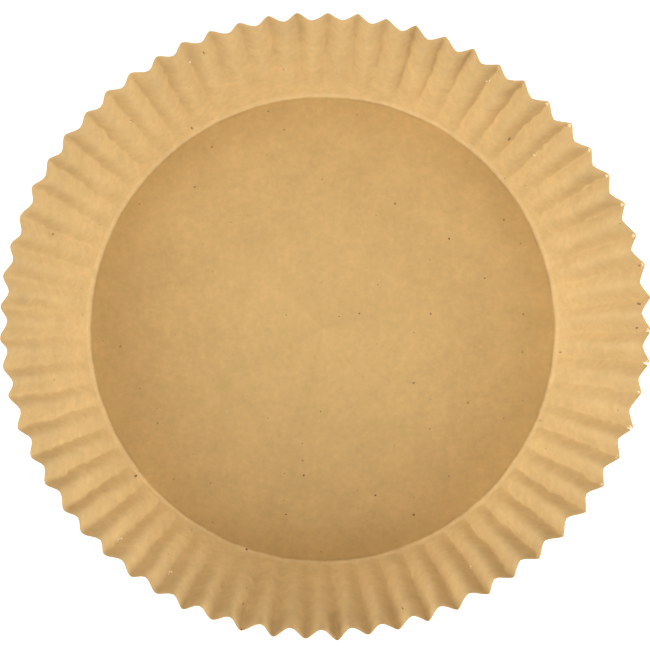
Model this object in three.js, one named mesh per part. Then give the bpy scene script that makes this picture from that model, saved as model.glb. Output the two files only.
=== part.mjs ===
// Air fryer paper liner: one disc of unbleached baking paper, pressed into a round dish
// with a flat floor, a rounded heel and a fluted wall that leans out to an open top.
//
// Millimetres and degrees, +Z up. The origin is the middle of the underside of the floor,
// which rests on z = 0. Angles are counted from +X towards +Y.
import * as THREE from 'three';

// The dish. Its top is measured across the tips of the flutes.
const baseDiameter = 160;
const topDiameter = 200;
const wallHeight = 45;
const paperThickness = 0.06;
const heelReach = 1.2; // how far the rounded heel reaches along the floor, and up the wall

// The flutes. They begin where the heel ends and grow deeper all the way to the top, as
// they take up more and more of the flat disc's spare width.
const fluteCount = 64;
const fluteDepth = 3.1; // at the top, from the tips to the valleys
const tipRoundness = 1.8; // 2 is an even wave, and 1 is a sharp fold at each tip
const firstTip = 3.5;

// What handling has done to the soft wall: its top is a little oval, three-sided and
// four-sided, and its flutes are crowded on one side and stand open on another.
const topOval = 2.2;
const topOvalSide = -2;
const topThreeSided = 0.5;
const topThreeSidedSide = 4;
const topFourSided = 0.3;
const topFourSidedSide = -2;
const fluteCrowding = 1.8;
const fluteCrowdingSide = 55;
const fluteOpening = 0.15; // share of the depth
const fluteOpeningSide = -20;

// Facets of each flute, and of its length up the wall
const facetsPerFlute = 6;
const facetsUpFlute = 4;

const { abs, asin, cos, hypot, PI, sin, sqrt } = Math;
const radians = THREE.MathUtils.degToRad;

const columns = fluteCount * facetsPerFlute;
const baseRadius = baseDiameter / 2;
const meanTopRadius = (topDiameter - fluteDepth) / 2;
const wallLength = hypot(meanTopRadius - baseRadius, wallHeight);
const fluteLength = wallLength - heelReach;

// A row is a ring of the sheet, by its distance from the foot of the wall: outward and
// up the wall above zero, and inward over the floor below it. Rows lie closest low down
// on the wall, where the flutes grow fastest.
const rows = [-baseRadius, -heelReach, 0, heelReach];
for (let facet = 1; facet <= facetsUpFlute; facet++) {
  rows.push(heelReach + fluteLength * (facet / facetsUpFlute) ** 2);
}

/** The angle at which the wall leans out from the vertical. Its length up the slope is
 *  the same all round, so it leans more where the top is wide. */
function wallLean(angle) {
  const topRadius =
    meanTopRadius +
    topOval * cos(2 * (angle - radians(topOvalSide))) +
    topThreeSided * cos(3 * (angle - radians(topThreeSidedSide))) +
    topFourSided * cos(4 * (angle - radians(topFourSidedSide)));
  return asin((topRadius - baseRadius) / wallLength);
}

/** Radius and height of the plain dish at a row, before its wall is fluted. */
function dishPoint(row, lean) {
  const foot = new THREE.Vector2(baseRadius, 0);
  const upWall = new THREE.Vector2(sin(lean), cos(lean));
  if (row <= -heelReach) {
    return new THREE.Vector2(baseRadius + row, 0);
  }
  if (row >= heelReach) {
    return foot.addScaledVector(upWall, row);
  }
  const heelStart = new THREE.Vector2(baseRadius - heelReach, 0);
  const heelEnd = foot.clone().addScaledVector(upWall, heelReach);
  const heel = new THREE.QuadraticBezierCurve(heelStart, foot, heelEnd);
  return heel.getPoint((row + heelReach) / (2 * heelReach));
}

/** How far the flutes carry the wall outward, at a row and a turn. */
function fluteOffset(row, turn, angle) {
  const grown = sqrt(THREE.MathUtils.clamp((row - heelReach) / fluteLength, 0, 1));
  const open = 1 + fluteOpening * cos(angle - radians(fluteOpeningSide));
  const wave = 0.5 - abs(sin((fluteCount * turn) / 2)) ** tipRoundness;
  return fluteDepth * open * grown * wave;
}

/** The middle of the paper's thickness. A turn counts the flutes round the dish evenly,
 *  and the angle is where the crowding leaves them. */
function sheetPoint(row, turn) {
  const crowding = fluteCrowding * cos(turn - radians(fluteCrowdingSide));
  const angle = turn + radians(firstTip + crowding);
  const lean = wallLean(angle);
  const point = dishPoint(row, lean);
  const offset = fluteOffset(row, turn, angle);
  const radius = point.x + offset * cos(lean);
  const height = paperThickness / 2 + point.y - offset * sin(lean);
  return new THREE.Vector3(radius * cos(angle), radius * sin(angle), height);
}

/** The direction through the paper, towards the inside of the dish. */
function sheetNormal(row, turn) {
  if (row <= -heelReach) {
    return new THREE.Vector3(0, 0, 1);
  }
  const rowStep = heelReach / 2;
  const turnStep = PI / columns;
  const outward = sheetPoint(row + rowStep, turn).sub(sheetPoint(row - rowStep, turn));
  const around = sheetPoint(row, turn + turnStep).sub(sheetPoint(row, turn - turnStep));
  return outward.cross(around).normalize();
}

/** A closed sheet: the underside from the axis out to the cut edge, then the upper face
 *  back to the axis. */
function paperLinerGeometry() {
  const faces = [];
  rows.forEach((row) => faces.push({ row, side: -1 }));
  rows.toReversed().forEach((row) => faces.push({ row, side: 1 }));

  const outline = faces.map(({ row }) => new THREE.Vector2(baseRadius + row, 0));
  const geometry = new THREE.LatheGeometry(outline, columns);
  const position = geometry.getAttribute('position');
  for (let column = 0; column <= columns; column++) {
    const turn = (2 * PI * (column % columns)) / columns;
    faces.forEach(({ row, side }, place) => {
      const point = sheetPoint(row, turn);
      point.addScaledVector(sheetNormal(row, turn), (side * paperThickness) / 2);
      position.setXYZ(column * faces.length + place, point.x, point.y, point.z);
    });
  }
  alignFacets(geometry, faces.length);
  geometry.computeVertexNormals();
  return geometry;
}

/** Turns the diagonals of the upper face's facets to lie right above those of the
 *  underside, so that the paper is as thick where it twists as where it is flat. */
function alignFacets(geometry, facePoints) {
  const index = geometry.getIndex();
  for (let column = 0; column < columns; column++) {
    for (let place = rows.length; place < facePoints - 1; place++) {
      const near = column * facePoints + place;
      const far = near + facePoints;
      const corners = [near, far, far + 1, near, far + 1, near + 1];
      const facet = 6 * (column * (facePoints - 1) + place);
      corners.forEach((corner, k) => index.setX(facet + k, corner));
    }
  }
}

const bakingPaper = new THREE.MeshStandardMaterial({
  name: 'baking_paper',
  color: '#d9b078',
  roughness: 0.85,
  metalness: 0,
});

const paperLiner = new THREE.Mesh(paperLinerGeometry(), bakingPaper);
paperLiner.name = 'paper_liner';

const airFryerPaperLiner = new THREE.Group();
airFryerPaperLiner.add(paperLiner);

export default airFryerPaperLiner;
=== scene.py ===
import math

import bpy
import numpy as np
from mathutils import Matrix, Vector


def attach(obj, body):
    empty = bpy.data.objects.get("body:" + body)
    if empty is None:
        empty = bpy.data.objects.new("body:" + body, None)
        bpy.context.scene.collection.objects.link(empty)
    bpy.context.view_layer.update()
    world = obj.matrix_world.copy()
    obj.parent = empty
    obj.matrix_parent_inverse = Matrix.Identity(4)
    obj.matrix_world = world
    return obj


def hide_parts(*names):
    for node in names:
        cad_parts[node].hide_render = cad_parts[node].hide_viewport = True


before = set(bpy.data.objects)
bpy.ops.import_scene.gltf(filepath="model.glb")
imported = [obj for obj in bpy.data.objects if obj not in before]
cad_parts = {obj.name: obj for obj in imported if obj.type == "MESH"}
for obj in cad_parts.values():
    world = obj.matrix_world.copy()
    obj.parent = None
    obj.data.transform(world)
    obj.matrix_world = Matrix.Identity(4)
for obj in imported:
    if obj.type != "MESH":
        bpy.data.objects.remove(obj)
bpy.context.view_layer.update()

MM = 0.001
TURN = 2 * math.pi

# The dish, as in the solid: its top is measured across the tips of the flutes
BASE_RADIUS = 80 * MM
TOP_RADIUS = 100 * MM
WALL_HEIGHT = 45 * MM
PAPER = 0.06 * MM
HEEL_REACH = 1.2 * MM
FLUTES = 64
FLUTE_DEPTH = 3.1 * MM
FIRST_TIP = math.radians(3.5)

# The flutes' depth grows with this power of the way up the wall, so a little faster low
# down than the solid's, which grows with the square root
FLUTE_GROWTH = 0.43

# The soft wall's unevenness, as in the solid
TOP_OVAL = 2.2 * MM
TOP_OVAL_SIDE = math.radians(-2)
TOP_THREE_SIDED = 0.5 * MM
TOP_THREE_SIDED_SIDE = math.radians(4)
TOP_FOUR_SIDED = 0.3 * MM
TOP_FOUR_SIDED_SIDE = math.radians(-2)
CROWDING = math.radians(1.8)
CROWDING_SIDE = math.radians(55)
OPENING = 0.15
OPENING_SIDE = math.radians(-20)

MEAN_TOP = TOP_RADIUS - FLUTE_DEPTH / 2
WALL_LENGTH = math.hypot(MEAN_TOP - BASE_RADIUS, WALL_HEIGHT)

# The fine sheet. A fold line runs along each tip and each valley, and the columns lie
# closest at the tips. The rows of the wall lie closest at its foot.
FOLDS = 2 * FLUTES
COLUMNS_PER_FOLD = 6
COLUMNS = FOLDS * COLUMNS_PER_FOLD
TIP_CLOSENESS = 1.6
FLOOR_ROWS = 10
HEEL_ROWS = 5
WALL_ROWS = 48
FOOT_CLOSENESS = 1.3

# How far the fold lines wander and kink sideways, how much less they kink at the cut edge,
# and how much deeper or shallower they get on the way
WANDER = 0.45 * MM
WANDER_SPACING = 14 * MM
KINK = 0.6 * MM
KINK_SPACING = 2.8 * MM
STRAIGHTER_AT_EDGE = 0.5
FOLD_DEPTH_CHANGE = 0.22

# How far the wall is from smooth. Its reliefs have so many cells for each flute, and each
# cell is so long up the wall.
FLANK_RELIEF = 0.09 * MM
FLANK_CELLS = ((5, 2.6 * MM), (2, 7 * MM))
CREASE_RELIEF = 0.22 * MM
CREASE_CELLS = (9, 2.2 * MM)

# How far the cut edge and the heel are from even, and their cells for each flute
TRIM = 0.3 * MM
TRIM_CELLS = 2
HEEL_RELIEF = 0.2 * MM
HEEL_CELLS = 3
HEEL_WIDTH = 2.5 * MM

# How far the floor lifts: shares of it in broad and in small lifts, with their spacing, on a
# square that reaches out past the dish. The floor is flat in the middle, rises over the next
# stretch and falls again towards the heel.
FLOOR_RELIEF = 0.22 * MM
FLOOR_LIFTS = ((0.35, 22 * MM), (0.15, 9 * MM))
LIFT_REACH = 110 * MM
FLAT_MIDDLE = 10 * MM
LIFT_RISE = 25 * MM
LIFT_FALL = 12 * MM

# Damage at the right, by the number of the flute from the first one: how far the cut
# edge is torn down beside a tip, and how much of its depth a pressed tip has left
TORN_TIPS = {-1: 0.9 * MM, -2: 2.8 * MM, -4: 2.4 * MM}
PRESSED_TIPS = {-3: 0.45}

# Spots where a crease is worn to its fibres, by flute: the share of the way up the wall, and how
# far
FRAYED_SPOTS = {
    6: (0.46, 0.7),
    9: (0.75, 0.8),
    20: (0.76, 0.6),
    23: (0.57, 0.6),
    28: (0.69, 0.7),
    40: (0.7, 1.0),
    42: (0.66, 0.9),
    53: (0.6, 0.7),
}

# The tips' creases are sharp down the wall and opened at the cut edge, less on one side
# than on the other: 2 is an even wave, 1 a fold
CREASE_ROUNDNESS = 1.3
TIP_ROUNDNESS = 1.64
TIP_ROUNDNESS_CHANGE = 0.3
SHARP_SIDE = math.radians(10)
# How near the cut edge comes to a zigzag with sharp valleys too, on the sharp side
ZIGZAG = 0.5


def smooth_step(share):
    return share * share * (3 - 2 * share)


def sheet_rows():
    """Distances of the rings of the sheet from the foot of the wall, inward below zero."""
    floor = np.linspace(-BASE_RADIUS, -HEEL_REACH, FLOOR_ROWS + 1)
    heel = np.linspace(-HEEL_REACH, HEEL_REACH, HEEL_ROWS + 1)
    share = np.linspace(0, 1, WALL_ROWS + 1) ** FOOT_CLOSENESS
    wall = HEEL_REACH + (WALL_LENGTH - HEEL_REACH) * share
    return np.concatenate([floor, heel[1:], wall[1:]])


# For each row: how far up the wall it is, how far the flutes have grown there, and how far
# their creases have opened
ROWS = sheet_rows()
ON_WALL = np.clip(ROWS, 0, None)
UP_WALL = ON_WALL / WALL_LENGTH
GROWN = np.clip((ROWS - HEEL_REACH) / (WALL_LENGTH - HEEL_REACH), 0, 1) ** FLUTE_GROWTH
OPENED = UP_WALL**3

# For each column: the fold before it and the one after, the share of the way from the tip
# to the valley and from the one fold to the other, and how far it is round the dish. Tips
# are at even folds and valleys at odd ones.
FOLD = np.arange(COLUMNS) // COLUMNS_PER_FOLD
NEXT_FOLD = (FOLD + 1) % FOLDS
TIP_FIRST = (FOLD % 2 == 0)[:, None]
EVEN_SHARE = (np.arange(COLUMNS) % COLUMNS_PER_FOLD / COLUMNS_PER_FOLD)[:, None]
FROM_TIP = np.where(TIP_FIRST, EVEN_SHARE, 1 - EVEN_SHARE) ** TIP_CLOSENESS
SHARE = np.where(TIP_FIRST, FROM_TIP, 1 - FROM_TIP)
EVEN_TURN = (FOLD[:, None] + SHARE) / FOLDS * TURN


def knots_along(along, spacing):
    """How many knots a line needs."""
    return int(along.max() / spacing) + 3


def between_knots(knots, along, spacing):
    """Smooth values between the knots of each line."""
    place = along / spacing
    low = place.astype(int)
    share = smooth_step(place - low)
    return knots[:, low] * (1 - share) + knots[:, low + 1] * share


def fold_relief(random, spacing):
    """Smooth values from -1 to 1 along each fold line, each line by itself."""
    knots = random.uniform(-1, 1, (FOLDS, knots_along(ON_WALL, spacing)))
    return between_knots(knots, ON_WALL, spacing)


def round_relief(random, cells_per_flute, spacing, along):
    """Smooth values from -1 to 1 over a band that closes on itself, by column and row."""
    cells = cells_per_flute * FLUTES
    knots = random.uniform(-1, 1, (cells, knots_along(along, spacing)))
    place = EVEN_TURN[:, 0] / TURN * cells
    low = np.floor(place).astype(int)
    share = smooth_step(place - low)[:, None]
    across = knots[low % cells] * (1 - share) + knots[(low + 1) % cells] * share
    return between_knots(across, along, spacing)


def wall_relief(random, cells_per_flute, spacing):
    return round_relief(random, cells_per_flute, spacing, ON_WALL)


def ring_relief(random, cells_per_flute):
    """Smooth values from -1 to 1 by column, the same in every row."""
    return round_relief(random, cells_per_flute, 1, np.zeros(1))


def flat_relief(random, x, y, spacing):
    """Smooth values from -1 to 1 over a square that holds the whole dish."""
    cells = int(2 * LIFT_REACH / spacing) + 3
    knots = random.uniform(-1, 1, (cells, cells))
    place_x, place_y = (x + LIFT_REACH) / spacing, (y + LIFT_REACH) / spacing
    low_x, low_y = place_x.astype(int), place_y.astype(int)
    share_x, share_y = smooth_step(place_x - low_x), smooth_step(place_y - low_y)
    near = knots[low_x, low_y] * (1 - share_x) + knots[low_x + 1, low_y] * share_x
    far = knots[low_x, low_y + 1] * (1 - share_x) + knots[low_x + 1, low_y + 1] * share_x
    return near * (1 - share_y) + far * share_y


def tip_column(flute):
    return 2 * flute * COLUMNS_PER_FOLD


def wall_lean(angle):
    """The wall's lean from the vertical. Its length is the same all round."""
    top = (
        MEAN_TOP
        + TOP_OVAL * np.cos(2 * (angle - TOP_OVAL_SIDE))
        + TOP_THREE_SIDED * np.cos(3 * (angle - TOP_THREE_SIDED_SIDE))
        + TOP_FOUR_SIDED * np.cos(4 * (angle - TOP_FOUR_SIDED_SIDE))
    )
    return np.arcsin((top - BASE_RADIUS) / WALL_LENGTH)


def dish_section(rows, lean):
    """Radius and height of the plain dish, for each row and lean."""
    up_wall_r, up_wall_z = np.sin(lean), np.cos(lean)
    share = np.clip((rows + HEEL_REACH) / (2 * HEEL_REACH), 0, 1)
    start, end = (1 - share) ** 2, share**2
    heel_r = BASE_RADIUS - HEEL_REACH * start + HEEL_REACH * end * up_wall_r
    heel_z = HEEL_REACH * end * up_wall_z
    past = np.clip(rows - HEEL_REACH, 0, None)
    before = np.clip(rows + HEEL_REACH, None, 0)
    return heel_r + before + past * up_wall_r, heel_z + past * up_wall_z


def wandering_turns(random):
    """The turn of each point. A fold line wanders sideways more the deeper its flute is, and
    runs straighter where it opens out at the cut edge."""
    wander = WANDER * fold_relief(random, WANDER_SPACING)
    kink = KINK * fold_relief(random, KINK_SPACING) * (1 - STRAIGHTER_AT_EDGE * OPENED)
    sideways = (wander + kink) * GROWN / BASE_RADIUS
    return EVEN_TURN + sideways[FOLD] * (1 - SHARE) + sideways[NEXT_FOLD] * SHARE


def fold_depths(random):
    """Depth of the tip and of the valley beside each point, against an even flute's."""
    depth = 1 + FOLD_DEPTH_CHANGE * fold_relief(random, WANDER_SPACING)
    for flute, left in PRESSED_TIPS.items():
        depth[2 * flute] *= left
    tip = np.where(TIP_FIRST, depth[FOLD], depth[NEXT_FOLD])
    valley = np.where(TIP_FIRST, depth[NEXT_FOLD], depth[FOLD])
    return tip, valley


def flute_wave(angle):
    """How far the wall has swung from a tip to a valley, from 0 to 1."""
    sharp = np.cos(angle - SHARP_SIDE)
    at_edge = TIP_ROUNDNESS - TIP_ROUNDNESS_CHANGE * sharp
    roundness = CREASE_ROUNDNESS + (at_edge - CREASE_ROUNDNESS) * OPENED
    wave = np.sin(FROM_TIP * math.pi / 2) ** roundness
    return wave + ZIGZAG * np.clip(sharp, 0, 1) * OPENED * (FROM_TIP - wave)


def flute_offset(random, angle):
    """How far the flutes carry the wall outward, with the relief of flanks and creases."""
    tip, valley = fold_depths(random)
    wave = flute_wave(angle)
    open_more = 1 + OPENING * np.cos(angle - OPENING_SIDE)
    offset = FLUTE_DEPTH / 2 * open_more * GROWN * ((1 - wave) * tip - wave * valley)
    flanks = sum(wall_relief(random, *cells) for cells in FLANK_CELLS)
    offset = offset + FLANK_RELIEF * GROWN * flanks
    crumpled = wall_relief(random, *CREASE_CELLS)
    return offset + CREASE_RELIEF * GROWN * (1 - OPENED) * (1 - FROM_TIP) ** 2 * crumpled


def cut_rows(random):
    """The rows of each column, out to a cut edge that is uneven, and torn at some tips."""
    rows = ROWS + TRIM * ring_relief(random, TRIM_CELLS) * UP_WALL**4
    for flute, torn in TORN_TIPS.items():
        rows[tip_column(flute) - 1] -= torn * UP_WALL**16
    return rows


def heel_lift(random, rows):
    """The heel isn't pressed quite evenly."""
    lift = 0.5 + 0.5 * ring_relief(random, HEEL_CELLS)
    return HEEL_RELIEF * lift * np.exp(-((rows / HEEL_WIDTH) ** 2))


def floor_lift(random, x, y, radius):
    """The floor lifts a little here and there, and is flat in the middle and at its edge."""
    lift = sum(share * flat_relief(random, x, y, spacing) for share, spacing in FLOOR_LIFTS)
    lift = 0.5 + lift * smooth_step(np.clip((radius - FLAT_MIDDLE) / LIFT_RISE, 0, 1))
    inside = np.clip((BASE_RADIUS - HEEL_REACH - radius) / LIFT_FALL, 0, 1)
    return FLOOR_RELIEF * lift * smooth_step(inside)


def middle_of_sheet():
    """Points of the middle of the paper, by column and row."""
    random = np.random.default_rng(64)
    turn = wandering_turns(random)
    angle = turn + FIRST_TIP + CROWDING * np.cos(turn - CROWDING_SIDE)
    offset = flute_offset(random, angle)
    rows = cut_rows(random)
    lean = wall_lean(angle)
    radius, height = dish_section(rows, lean)
    radius = radius + offset * np.cos(lean)
    height = height - offset * np.sin(lean)
    x, y = radius * np.cos(angle), radius * np.sin(angle)
    height = height + heel_lift(random, rows)
    height = height + floor_lift(random, x, y, radius)
    return np.stack([x, y, height + PAPER / 2], axis=-1)


def frayed_paper_and_glints():
    """How far the paper is worn to its fibres, from 0 to 1, by column and row, with painted
    highlights below the tips.
    """
    random = np.random.default_rng(9)
    frayed_and_glints = np.zeros((COLUMNS, len(ROWS)))
    # Painted highlights: a pale glint just below every tip, strongest on the right
    for flute in range(FLUTES):
        tip = tip_column(flute)
        sharp = math.cos(flute / FLUTES * TURN - SHARP_SIDE)
        point = max(sharp, 0.2) * random.uniform(0.6, 1)
        frayed_and_glints[tip - 1 : tip + 2, -2] = point
        frayed_and_glints[tip, -1] = 0.5 * point
    for flute in TORN_TIPS:
        frayed_and_glints[tip_column(flute) - 1, -1] = 1
    for flute, (share, how_far) in FRAYED_SPOTS.items():
        tip = tip_column(flute)
        row = np.searchsorted(ROWS, share * WALL_LENGTH)
        frayed_and_glints[tip : tip + 2, row] = how_far
        frayed_and_glints[tip - 1, row + 1] = 0.9 * how_far
        frayed_and_glints[tip, row + 2] = 0.8 * how_far
    return frayed_and_glints


def sheet_normals(middle):
    """Directions through the paper towards the inside of the dish."""
    around = np.roll(middle, -1, axis=0) - np.roll(middle, 1, axis=0)
    outward = np.gradient(middle, axis=1)
    normals = np.cross(outward, around)
    normals[:, 0] = (0, 0, 1)
    return normals / np.linalg.norm(normals, axis=-1, keepdims=True)


def closed_sheet(name):
    """The paper as a closed mesh: both its faces, and the cut edge between them. Each face
    has one point at its centre, and then its columns, from there out to the cut edge."""
    middle = middle_of_sheet()
    through = sheet_normals(middle) * PAPER / 2
    length = len(ROWS) - 1
    points, polygons = [], []
    for face, turned_over in ((middle + through, False), (middle - through, True)):
        centre = len(points)
        points.append(face[0, 0])
        first = len(points)
        points.extend(face[:, 1:].reshape(-1, 3))
        for column in range(COLUMNS):
            near = first + column * length
            far = first + (column + 1) % COLUMNS * length
            strip = [(centre, near, far)]
            strip += [(near + k, near + k + 1, far + k + 1, far + k) for k in range(length - 1)]
            polygons += [corners[::-1] for corners in strip] if turned_over else strip
    below = len(points) // 2
    for column in range(COLUMNS):
        near = (column + 1) * length
        far = ((column + 1) % COLUMNS + 1) * length
        polygons.append((near, near + below, far + below, far))

    mesh = bpy.data.meshes.new(name)
    mesh.from_pydata([tuple(point) for point in points], [], polygons)
    mesh.polygons.foreach_set("use_smooth", [True] * len(polygons))
    mesh.set_sharp_from_angle(angle=math.radians(60))
    # The wear and the painted tip highlights, as a point attribute for the material
    frayed_and_glints = np.concatenate([[0], frayed_paper_and_glints()[:, 1:].ravel()] * 2)
    mesh.attributes.new("frayed_and_glints", "FLOAT", "POINT").data.foreach_set("value", frayed_and_glints)
    mesh.update()
    sheet = bpy.data.objects.new(name, mesh)
    bpy.context.scene.collection.objects.link(sheet)
    return sheet


class Nodes:
    """A short way to write the nodes of a material or a world."""

    def __init__(self, owner):
        owner.use_nodes = True
        self.tree = owner.node_tree
        self.tree.nodes.clear()

    def add(self, kind, inputs=None, **settings):
        node = self.tree.nodes.new(kind)
        for name, value in settings.items():
            setattr(node, name, value)
        for name, value in (inputs or {}).items():
            if isinstance(value, bpy.types.NodeSocket):
                self.tree.links.new(value, node.inputs[name])
            else:
                node.inputs[name].default_value = value
        return node

    def math(self, operation, *values):
        return self.add("ShaderNodeMath", dict(enumerate(values)), operation=operation).outputs[0]

    def ramp(self, value, low, high, to_low=0.0, to_high=1.0):
        inputs = {0: value, 1: low, 2: high, 3: to_low, 4: to_high}
        return self.add("ShaderNodeMapRange", inputs).outputs[0]

    def mix(self, factor, first, second, blend="MIX"):
        inputs = {0: factor, 6: first, 7: second}
        node = self.add("ShaderNodeMix", inputs, data_type="RGBA", blend_type=blend)
        return node.outputs[2]

    def seen_rays(self):
        """1 for the rays that show a thing to the camera, also in a mirror or through glass."""
        rays = self.add("ShaderNodeLightPath").outputs
        seen = self.math("MAXIMUM", rays["Is Camera Ray"], rays["Is Glossy Ray"])
        return self.math("MAXIMUM", seen, rays["Is Transmission Ray"])


class PaperNodes(Nodes):
    """Nodes of a material whose pattern keeps to the object's own axes."""

    def __init__(self, owner):
        super().__init__(owner)
        self.place = self.add("ShaderNodeTexCoord").outputs["Object"]

    def noise(self, scale, detail=2.0, roughness=0.5):
        inputs = {"Vector": self.place, "Scale": scale, "Detail": detail, "Roughness": roughness}
        return self.add("ShaderNodeTexNoise", inputs).outputs["Fac"]

    def clouds(self, low, high, scale, detail=2.0, roughness=0.5):
        """Noise that is spread over the values from low to high."""
        return self.ramp(self.noise(scale, detail, roughness), 0.3, 0.7, low, high)


def colour(red, green, blue):
    """A colour from its 0 to 255 screen values."""
    values = [channel / 255 for channel in (red, green, blue)]
    linear = [v / 12.92 if v <= 0.04045 else ((v + 0.055) / 1.055) ** 2.4 for v in values]
    return (*linear, 1)


# Painted light and shade in the paper's colour. The heel is paler: partly the paper's own
# lightening where the press bends it, partly a painted highlight where the fold catches the
# light. The wall is painted lighter at its foot, where more light falls, and darker towards the
# rim. The floor is painted darker towards its edge, for the shade that the wall casts on it.
FLOOR_COLOUR = colour(216, 179, 118)
FLOOR_EDGE_PAINTED_SHADE = colour(209, 172, 111)
HEEL_PALE_AND_HIGHLIGHT = colour(229, 197, 141)
WALL_FOOT_PAINTED_LIGHT = colour(223, 191, 133)
WALL_TOP_PAINTED_SHADE = colour(201, 170, 117)
# Bark flecks, and the dark that the painted shade line at the floor's edge leans towards
FLECK_AND_SHADE = colour(105, 70, 36)
# Pale inner fibres of worn paper, and the painted highlights just below the tips
FRAYED_AND_GLINT = colour(250, 232, 200)

# Where one tone goes over into the next, as radii from the axis: the floor's painted shade,
# the thin line of painted shade in the crease at the floor's edge, the heel and the wrinkles.
# Then how uneven these radii are, and how dark the painted shade line is.
FLOOR_EDGE_SHADE_SPAN = (68 * MM, 79 * MM)
EDGE_PAINTED_SHADE_LINE = (78.3 * MM, 78.9 * MM)
HEEL_BEGINS = (79.1 * MM, 79.6 * MM)
WRINKLES_BEGIN = (79.6 * MM, 82 * MM)
TONE_UNEVENNESS = 0.28 * MM
EDGE_PAINTED_SHADE_STRENGTH = 0.14

# The same, as heights: the end of the heel's pale band, and the wall's painted light and shade
# from its foot to its rim
HEEL_ENDS = (0.9 * MM, 2.2 * MM)
WALL_SHADING_SPAN = (2 * MM, WALL_HEIGHT)

# The paper is divided into cells, so many to a metre. One in six holds a fleck, whose size
# is a share of the cell's.
FLECK_CELLS = 160.0
FLECK_SIZES = (0.022, 0.07)


def paper_tone_and_shading(n, radius, height):
    """The colour of the floor, heel and wall, cloudy at three sizes, with painted shade, light
    and highlights.
    """
    # Painted shade: the floor darkens towards its edge, where the wall shades it
    floor = n.mix(n.ramp(radius, *FLOOR_EDGE_SHADE_SPAN), FLOOR_COLOUR, FLOOR_EDGE_PAINTED_SHADE)
    # Painted shade: a thin, patchy dark line in the crease at the floor's edge
    line = n.math("MULTIPLY", n.ramp(radius, *EDGE_PAINTED_SHADE_LINE), n.ramp(n.noise(55, 3), 0.4, 0.6))
    floor = n.mix(n.math("MULTIPLY", line, EDGE_PAINTED_SHADE_STRENGTH), floor, FLECK_AND_SHADE)
    # Painted light and shade: the wall is lighter at its foot and darker towards the rim
    wall = n.mix(n.ramp(height, *WALL_SHADING_SPAN), WALL_FOOT_PAINTED_LIGHT, WALL_TOP_PAINTED_SHADE)
    # The heel's pale band: partly the paper's own lightening, partly a painted highlight
    wall = n.mix(n.ramp(height, *HEEL_ENDS), HEEL_PALE_AND_HIGHLIGHT, wall)
    tone = n.mix(n.ramp(radius, *HEEL_BEGINS), floor, wall)
    clouds = n.clouds(0.945, 1.055, 45, 4, 0.6)
    patches = n.clouds(0.955, 1.045, 140, 3, 0.6)
    mottle = n.clouds(0.94, 1.06, 420, 3, 0.7)
    tone = n.mix(1.0, tone, n.math("MULTIPLY", clouds, mottle), "MULTIPLY")
    return n.mix(1.0, tone, patches, "MULTIPLY")


def flecks_of_bark(n):
    """Where a fleck lies. A few of the cells hold one, and noise gives it a ragged edge."""
    inputs = {"Vector": n.place, "Scale": FLECK_CELLS}
    cells = n.add("ShaderNodeTexVoronoi", inputs, voronoi_dimensions="2D").outputs
    picked = n.add("ShaderNodeSeparateColor", {0: cells["Color"]}).outputs
    few = n.ramp(picked[0], 0.83, 0.84)
    size = n.ramp(n.math("POWER", picked[1], 2), 0, 1, *FLECK_SIZES)
    distance = n.math("ADD", cells["Distance"], n.clouds(-0.02, 0.02, 2500, 1))
    near = n.ramp(n.math("DIVIDE", distance, size), 0.6, 1.1, 1, 0)
    return n.math("MULTIPLY", near, n.math("MULTIPLY", few, n.ramp(picked[2], 0, 1, 0.25, 1)))


def bare_fibres_and_glints(n):
    """Where worn paper shows its pale inner fibres, in ragged grains, and where the tips have
    painted highlights.
    """
    frayed_and_glints = n.add("ShaderNodeAttribute", attribute_name="frayed_and_glints").outputs["Fac"]
    grain = n.clouds(-0.45, 0.45, 1300)
    pale_grains = n.ramp(n.math("MULTIPLY_ADD", frayed_and_glints, 1.3, grain), 0.55, 0.8)
    return n.math("MULTIPLY", pale_grains, n.ramp(frayed_and_glints, 0.05, 0.3))


def paper_bump(n, radius):
    """Fibres, fine crumples, and short wrinkles on the wall where two noises agree."""
    fibre = n.noise(900, 3, 0.65)
    crumple = n.noise(160, 3, 0.6)
    ridge = n.math("ABSOLUTE", n.math("SUBTRACT", n.noise(230), 0.5))
    ridge = n.math("MULTIPLY", n.ramp(ridge, 0, 0.035, 1, 0), n.ramp(n.noise(90), 0.5, 0.62))
    wrinkle = n.math("MULTIPLY", ridge, n.ramp(radius, *WRINKLES_BEGIN))
    relief = n.math("MULTIPLY_ADD", crumple, 2, fibre)
    relief = n.math("MULTIPLY_ADD", wrinkle, 0.8, relief)
    inputs = {"Strength": 0.35, "Distance": 0.12 * MM, "Height": relief}
    return n.add("ShaderNodeBump", inputs).outputs["Normal"]


def baking_paper():
    """Unbleached baking paper: cloudy, fibrous and matte, with flecks of bark, and painted shade,
    light and highlights.
    """
    material = bpy.data.materials.new("baking_paper")
    n = PaperNodes(material)
    across, along, height = n.add("ShaderNodeSeparateXYZ", {0: n.place}).outputs
    squares = n.math("ADD", n.math("POWER", across, 2), n.math("POWER", along, 2))
    uneven = n.clouds(-TONE_UNEVENNESS, TONE_UNEVENNESS, 80, 4, 0.6)
    radius = n.math("ADD", n.math("SQRT", squares), uneven)
    base = paper_tone_and_shading(n, radius, height)
    base = n.mix(flecks_of_bark(n), base, FLECK_AND_SHADE)
    # Pale fibres where the paper is worn, and painted highlights below the tips
    base = n.mix(bare_fibres_and_glints(n), base, FRAYED_AND_GLINT)
    surface = {
        "Base Color": base,
        "Roughness": n.clouds(0.72, 0.86, 300),
        "Normal": paper_bump(n, radius),
        "Specular IOR Level": 0.3,
        "Sheen Weight": 0.05,
    }
    shader = n.add("ShaderNodeBsdfPrincipled", surface)
    n.add("ShaderNodeOutputMaterial", {"Surface": shader.outputs[0]})
    return material


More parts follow.
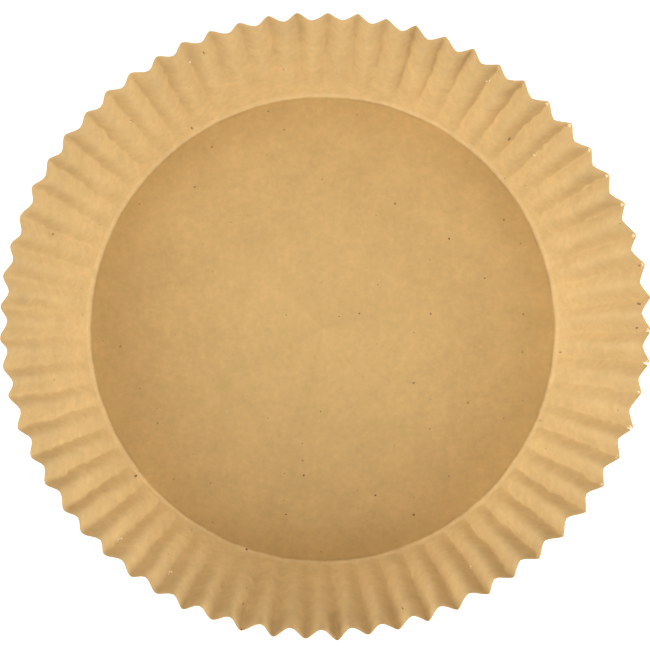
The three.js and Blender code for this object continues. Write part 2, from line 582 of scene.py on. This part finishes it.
def white_table():
    """A white that still takes the liner's shadow."""
    material = bpy.data.materials.new("table_top")
    n = Nodes(material)
    plain = n.add("ShaderNodeBsdfDiffuse", {"Color": (0.75, 0.75, 0.75, 1)}).outputs[0]
    lit = n.add("ShaderNodeBsdfDiffuse", {"Color": (0.8, 0.8, 0.8, 1)}).outputs[0]
    glow = n.add("ShaderNodeEmission", {"Color": (1, 1, 1, 1), "Strength": 0.45}).outputs[0]
    bright = n.add("ShaderNodeAddShader", {0: lit, 1: glow}).outputs[0]
    mixed = n.add("ShaderNodeMixShader", {0: n.seen_rays(), 1: plain, 2: bright}).outputs[0]
    n.add("ShaderNodeOutputMaterial", {"Surface": mixed})
    return material


TABLE_RADIUS = 1.6
TABLE_SIDES = 96


def table_top():
    """A round table top, far wider than the picture."""
    mesh = bpy.data.meshes.new("table_top")
    angles = [TURN * k / TABLE_SIDES for k in range(TABLE_SIDES)]
    ring = [(TABLE_RADIUS * math.cos(a), TABLE_RADIUS * math.sin(a), 0) for a in angles]
    mesh.from_pydata(ring, [], [tuple(range(TABLE_SIDES))])
    top = bpy.data.objects.new("table_top", mesh)
    bpy.context.scene.collection.objects.link(top)
    mesh.materials.append(white_table())


LAMP_DISTANCE = 0.9
LAMP_SIZE = 0.5


def soft_box(name, side, height, power):
    """A square lamp that faces the liner from a side and a height, both in degrees."""
    light = bpy.data.lights.new(name, "AREA")
    light.shape = "SQUARE"
    light.size = LAMP_SIZE
    light.energy = power
    lamp = bpy.data.objects.new(name, light)
    side, height = math.radians(side), math.radians(height)
    level = math.cos(height)
    towards = Vector((level * math.cos(side), level * math.sin(side), math.sin(height)))
    lamp.location = LAMP_DISTANCE * towards
    lamp.rotation_euler = (-towards).to_track_quat("-Z", "Y").to_euler()
    bpy.context.scene.collection.objects.link(lamp)


def lights():
    """Soft boxes all round, most of them low, and weakest from the far side."""
    soft_box("light_right_low", 0, 10, 3.3)
    soft_box("light_far_right_low", 30, 22, 1.65)
    soft_box("light_far_high", 90, 55, 1.65)
    soft_box("light_far_left_low", 120, 22, 2.1)
    soft_box("light_left_low", 180, 10, 3.95)
    soft_box("light_left_high", 180, 36, 1.65)
    soft_box("light_near_left_high", 210, 36, 2.7)
    soft_box("light_near_left_low", 240, 22, 2.5)
    soft_box("light_near_right_low", 330, 10, 2.6)
    soft_box("light_near_right_high", 330, 36, 3.95)


def backdrop():
    """White behind the table top, and no light from it."""
    world = bpy.data.worlds.new("backdrop")
    n = Nodes(world)
    white = n.add("ShaderNodeBackground", {"Color": (1, 1, 1, 1), "Strength": n.seen_rays()})
    n.add("ShaderNodeOutputWorld", {"Surface": white.outputs[0]})
    bpy.context.scene.world = world


CAMERA_PLACE = (-6.5 * MM, -17.9 * MM, 522 * MM)
CAMERA_AIM = (0.64 * MM, 0.96 * MM, 0)
LENS = 84.6
SENSOR = 36


def camera():
    """The photograph's view: from half a metre up, almost straight down."""
    data = bpy.data.cameras.new("camera")
    data.lens = LENS
    data.sensor_width = SENSOR
    data.clip_start = 0.01
    viewer = bpy.data.objects.new("camera", data)
    # +Y is up in the picture
    ahead = (Vector(CAMERA_AIM) - Vector(CAMERA_PLACE)).normalized()
    right = ahead.cross(Vector((0, 1, 0))).normalized()
    turned = Matrix((right, right.cross(ahead), -ahead)).transposed()
    viewer.matrix_world = Matrix.Translation(CAMERA_PLACE) @ turned.to_4x4()
    bpy.context.scene.collection.objects.link(viewer)
    bpy.context.scene.camera = viewer


liner = closed_sheet("fluted_liner")
liner.data.materials.append(baking_paper())
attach(liner, "root")
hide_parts("paper_liner")

table_top()
lights()
backdrop()
camera()
bpy.context.scene.view_settings.view_transform = "Standard"
